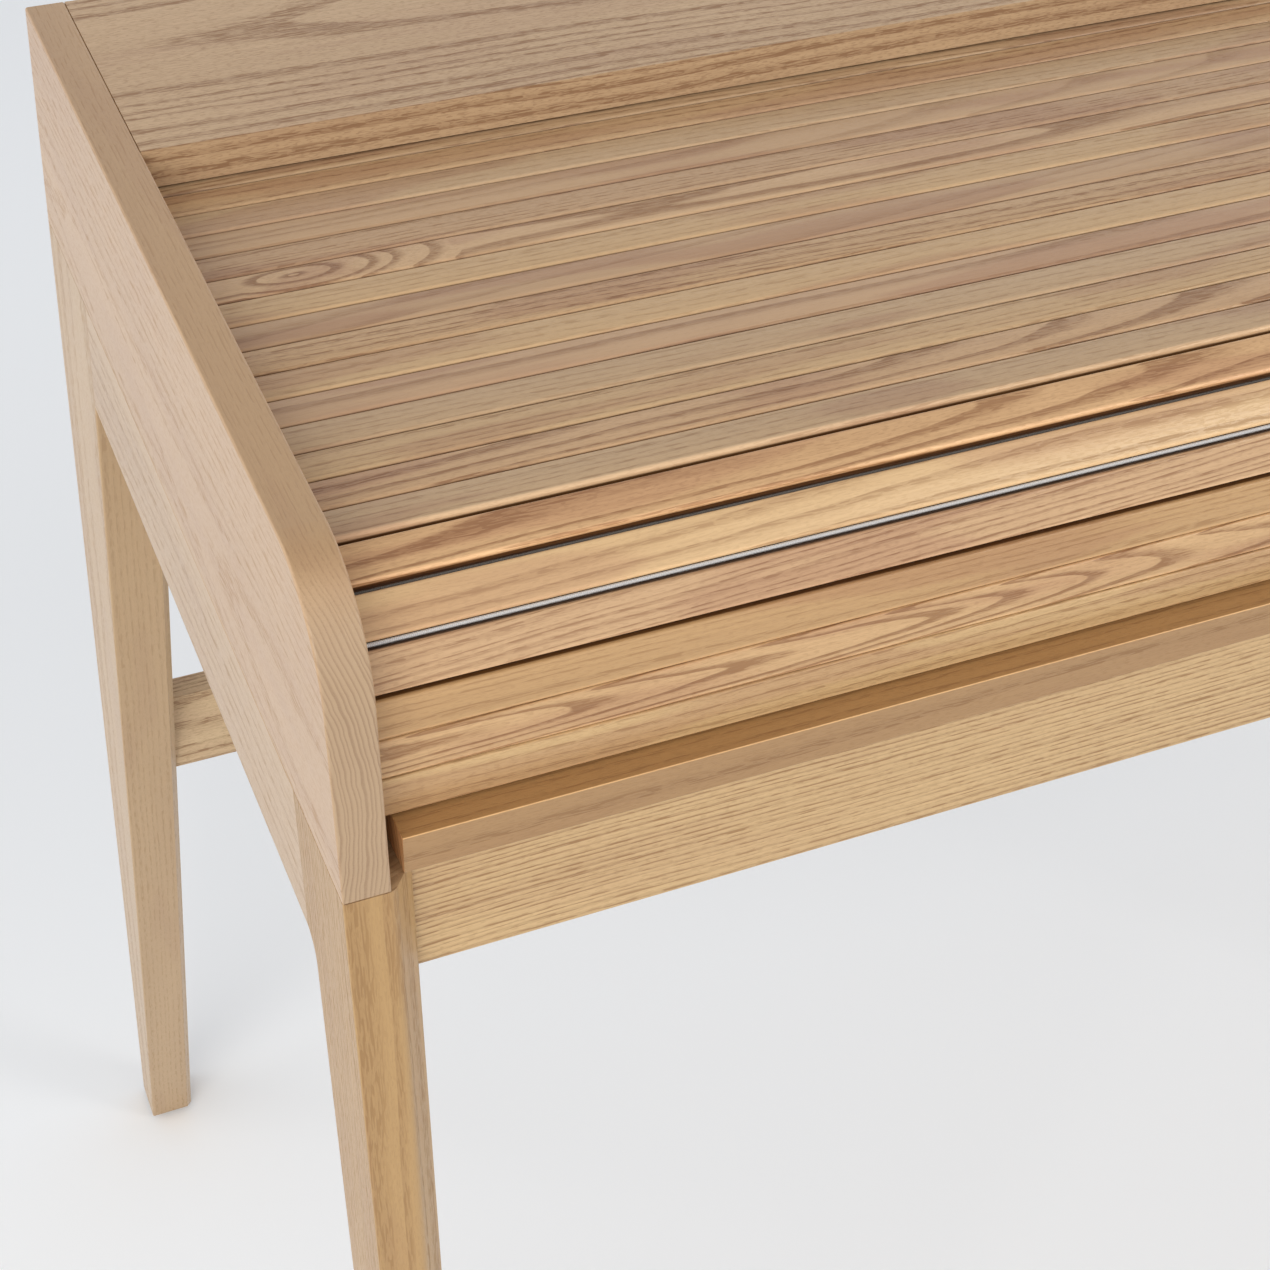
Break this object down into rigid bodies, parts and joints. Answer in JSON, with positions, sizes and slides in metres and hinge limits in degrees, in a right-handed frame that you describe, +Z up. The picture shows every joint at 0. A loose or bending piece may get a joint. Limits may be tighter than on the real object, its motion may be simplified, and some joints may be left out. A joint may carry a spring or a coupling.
{
  "type": "tambour desk",
  "caption": "Ash desk with raked A-shaped side frames and a low hood closed by a slatted tambour, with a sliding writing board under it and bays and drawers inside.",
  "frame": {"origin": "on the floor, at the middle of the desk's footprint box", "axes": "+X to the sitter's right along the width, +Y to the rear, +Z up; the sitter faces +Y"},
  "size_m": [1.1, 0.619, 0.85],
  "materials": {
    "ash": "satin",
    "drawer_box": "satin",
    "knob": "satin",
    "dowel": "matte",
    "canvas": "woven",
    "screw": "satin",
    "glide": "matte"
  },
  "bodies": {
    "frame": {"side_panel_left": "ash", "side_panel_right": "ash", "side_rail_left": "ash", "side_rail_right": "ash", "front_leg_left": "ash", "front_leg_right": "ash", "back_leg_left": "ash", "back_leg_right": "ash", "front_apron": "ash", "rear_rail": "ash", "back_stretcher": "ash", "deck_panel": "ash", "board_runner_left": "ash", "board_runner_right": "ash", "back_panel": "ash", "rear_top": "ash", "organiser_floor": "ash", "divider_1": "ash", "divider_2": "ash", "divider_3": "ash", "divider_4": "ash", "panel_dowels": "dowel", "runner_screws": "screw", "foot_glides": "glide"},
    "writing_board": {"writing_board": "ash"},
    "curtain_top": {"slat_01": "ash", "slat_02": "ash", "slat_03": "ash", "slat_04": "ash", "slat_05": "ash", "slat_06": "ash", "slat_07": "ash", "slat_08": "ash", "slat_09": "ash", "slat_10": "ash", "slat_11": "ash", "slat_12": "ash", "slat_13": "ash", "slat_14": "ash", "slat_15": "ash", "canvas_top": "canvas"},
    "curtain_bend_1": {"slat_16": "ash", "canvas_bend_1": "canvas"},
    "curtain_bend_2": {"slat_17": "ash", "canvas_bend_2": "canvas"},
    "curtain_bend_3": {"slat_18": "ash", "canvas_bend_3": "canvas"},
    "curtain_front": {"slat_19": "ash", "slat_20": "ash", "slat_21": "ash", "canvas_front": "canvas", "lead_rail": "ash"},
    "drawer_left": {"drawer_front_left": "ash", "drawer_tray_left": "drawer_box", "drawer_knob_left": "knob"},
    "drawer_right": {"drawer_front_right": "ash", "drawer_tray_right": "drawer_box", "drawer_knob_right": "knob"}
  },
  "joints": [
    {"name": "board_slide", "type": "slide", "parent": "frame", "child": "writing_board", "axis": [0, -1, 0], "range_m": [0, 0.2]},
    {"name": "curtain_slide", "type": "slide", "parent": "frame", "child": "curtain_top", "axis": [0, 1, 0], "range_m": [0, 0.09]},
    {"name": "fold_1", "type": "hinge", "parent": "curtain_top", "child": "curtain_bend_1", "pos_m": [0, -0.21778, 0.8321], "axis": [-1, 0, 0], "range_deg": [0, 21.65]},
    {"name": "fold_2", "type": "hinge", "parent": "curtain_bend_1", "child": "curtain_bend_2", "pos_m": [0, -0.22991, 0.82729], "axis": [-1, 0, 0], "range_deg": [0, 21.65]},
    {"name": "fold_3", "type": "hinge", "parent": "curtain_bend_2", "child": "curtain_bend_3", "pos_m": [0, -0.23941, 0.81834], "axis": [-1, 0, 0], "range_deg": [0, 21.65]},
    {"name": "fold_4", "type": "hinge", "parent": "curtain_bend_3", "child": "curtain_front", "pos_m": [0, -0.24493, 0.80651], "axis": [-1, 0, 0], "range_deg": [0, 21.65]},
    {"name": "drawer_left_slide", "type": "slide", "parent": "frame", "child": "drawer_left", "axis": [0, -1, 0], "range_m": [0, 0.11]},
    {"name": "drawer_right_slide", "type": "slide", "parent": "frame", "child": "drawer_right", "axis": [0, -1, 0], "range_m": [0, 0.11]}
  ],
  "couplings": [
    {"joint": "fold_1", "follows": "curtain_slide", "rad_per_m": 4.1985},
    {"joint": "fold_2", "follows": "curtain_slide", "rad_per_m": 4.1985},
    {"joint": "fold_3", "follows": "curtain_slide", "rad_per_m": 4.1985},
    {"joint": "fold_4", "follows": "curtain_slide", "rad_per_m": 4.1985}
  ]
}
